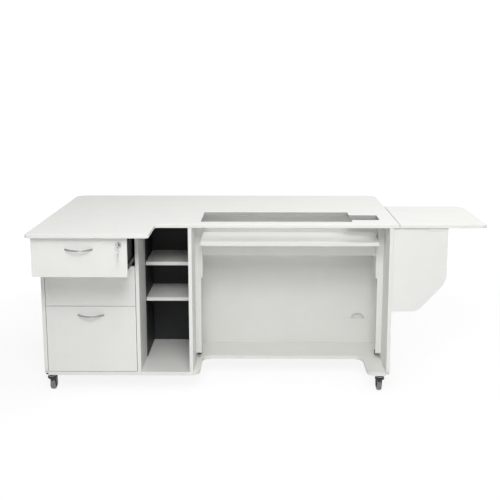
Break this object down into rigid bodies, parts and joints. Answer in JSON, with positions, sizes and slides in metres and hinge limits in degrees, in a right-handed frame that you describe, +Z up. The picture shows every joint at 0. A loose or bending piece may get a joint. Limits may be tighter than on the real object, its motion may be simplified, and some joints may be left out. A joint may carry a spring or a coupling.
{
  "type": "sewing cabinet",
  "caption": "White sewing cabinet with drawers, an open shelf bay, a machine lift under a stepped opening, a folding leaf on a swing gate, and casters.",
  "frame": {"origin": "on the floor, under the middle of the whole footprint", "axes": "+X to the right along the tops, +Y to the back, +Z up"},
  "size_m": [1.9634, 1.081, 0.7834],
  "materials": {
    "white_board": "white melamine",
    "dark_lining": "dark melamine",
    "black_steel": "satin",
    "white_steel": "satin",
    "bright_steel": "zinc plated",
    "satin_steel": "satin nickel",
    "chrome": "polished",
    "white_plastic": "moulded",
    "wheel_rubber": "grey tread"
  },
  "bodies": {
    "carcass": {"main_top": "white_board", "base_board": "white_board", "left_side_panel": "white_board", "right_wall": "white_board", "pedestal_divider": "white_board", "knee_left_wall": "white_board", "pedestal_back_panel": "white_board", "lock_rail": "white_board", "upper_back_panel": "white_board", "lower_back_panel": "white_board", "shelf_bay_lining": "dark_lining", "bay_shelves": "white_board", "cabinet_runners": "black_steel", "lift_columns": "white_steel", "strut_cylinders": "black_steel", "gate_hinge_wall_leaf": "white_steel", "gate_hinge_pin": "bright_steel", "leaf_hinge_top_plates": "white_steel", "leaf_hinge_pins": "bright_steel", "top_fixing_brackets": "bright_steel", "caster_plates": "bright_steel"},
    "upper_drawer": {"upper_drawer_front": "white_board", "upper_drawer_box": "dark_lining", "upper_drawer_bottom": "white_board", "upper_drawer_rails": "black_steel", "upper_drawer_handle": "satin_steel", "lock_housing": "chrome"},
    "middle_drawer": {"middle_drawer_front": "white_board", "middle_drawer_box": "dark_lining", "middle_drawer_bottom": "white_board", "middle_drawer_rails": "black_steel", "middle_drawer_handle": "satin_steel"},
    "lower_drawer": {"lower_drawer_front": "white_board", "lower_drawer_box": "dark_lining", "lower_drawer_bottom": "white_board", "lower_drawer_rails": "black_steel", "lower_drawer_handle": "satin_steel"},
    "lock": {"lock_plug": "bright_steel", "lock_cam": "bright_steel", "lock_key": "bright_steel"},
    "key_ring": {"spare_key": "bright_steel"},
    "lift": {"lift_platform": "white_board", "lift_carriages": "white_steel", "lift_cross_beam": "white_board", "strut_rods": "bright_steel"},
    "gate": {"gate_panel": "white_board", "gate_hinge_swing_leaf": "white_steel", "gate_support_block": "white_plastic"},
    "leaf": {"right_leaf": "white_board", "leaf_hinge_leaf_plates": "white_steel"},
    "front_left_caster": {"front_left_caster_fork": "black_steel"},
    "front_left_wheel": {"front_left_caster_wheel": "wheel_rubber"},
    "front_right_caster": {"front_right_caster_fork": "black_steel"},
    "front_right_wheel": {"front_right_caster_wheel": "wheel_rubber"},
    "rear_left_caster": {"rear_left_caster_fork": "black_steel"},
    "rear_left_wheel": {"rear_left_caster_wheel": "wheel_rubber"},
    "rear_right_caster": {"rear_right_caster_fork": "black_steel"},
    "rear_right_wheel": {"rear_right_caster_wheel": "wheel_rubber"}
  },
  "joints": [
    {"name": "upper_drawer_slide", "type": "slide", "parent": "carcass", "child": "upper_drawer", "axis": [0, -1, 0], "range_m": [-0.204, 0.146]},
    {"name": "middle_drawer_slide", "type": "slide", "parent": "carcass", "child": "middle_drawer", "axis": [0, -1, 0], "range_m": [0, 0.35]},
    {"name": "lower_drawer_slide", "type": "slide", "parent": "carcass", "child": "lower_drawer", "axis": [0, -1, 0], "range_m": [0, 0.35]},
    {"name": "lock_turn", "type": "hinge", "parent": "upper_drawer", "child": "lock", "pos_m": [-0.5967, -0.511, 0.731], "axis": [0, 1, 0], "range_deg": [0, 90]},
    {"name": "key_ring_swing", "type": "hinge", "parent": "lock", "child": "key_ring", "pos_m": [-0.5967, -0.534, 0.731], "axis": [-1, 0, 0], "range_deg": [0, 60]},
    {"name": "lift_slide", "type": "slide", "parent": "carcass", "child": "lift", "axis": [0, 0, 1], "range_m": [-0.2, 0.075]},
    {"name": "gate_swing", "type": "hinge", "parent": "carcass", "child": "gate", "pos_m": [0.5777, -0.2726, 0.5735], "axis": [0, 0, 1], "range_deg": [0, 90]},
    {"name": "leaf_fold", "type": "hinge", "parent": "carcass", "child": "leaf", "pos_m": [0.6005, -0.0565, 0.7812], "axis": [0, -1, 0], "range_deg": [0, 180]},
    {"name": "front_left_swivel", "type": "hinge", "parent": "carcass", "child": "front_left_caster", "pos_m": [-0.9577, -0.264, 0.058], "axis": [0, 0, 1], "continuous": true},
    {"name": "front_left_roll", "type": "hinge", "parent": "front_left_caster", "child": "front_left_wheel", "pos_m": [-0.95582, -0.2461, 0.027], "axis": [0.9945, -0.1045, 0], "continuous": true},
    {"name": "front_right_swivel", "type": "hinge", "parent": "carcass", "child": "front_right_caster", "pos_m": [0.5353, -0.264, 0.058], "axis": [0, 0, 1], "continuous": true},
    {"name": "front_right_roll", "type": "hinge", "parent": "front_right_caster", "child": "front_right_wheel", "pos_m": [0.53404, -0.24604, 0.027], "axis": [0.9976, 0.0698, 0], "continuous": true},
    {"name": "rear_left_swivel", "type": "hinge", "parent": "carcass", "child": "rear_left_caster", "pos_m": [-0.9577, 0.126, 0.058], "axis": [0, 0, 1], "continuous": true},
    {"name": "rear_left_roll", "type": "hinge", "parent": "rear_left_caster", "child": "rear_left_wheel", "pos_m": [-0.95304, 0.14339, 0.027], "axis": [0.9659, -0.2588, 0], "continuous": true},
    {"name": "rear_right_swivel", "type": "hinge", "parent": "carcass", "child": "rear_right_caster", "pos_m": [0.5353, 0.126, 0.058], "axis": [0, 0, 1], "continuous": true},
    {"name": "rear_right_roll", "type": "hinge", "parent": "rear_right_caster", "child": "rear_right_wheel", "pos_m": [0.52914, 0.14291, 0.027], "axis": [0.9397, 0.342, 0], "continuous": true}
  ]
}
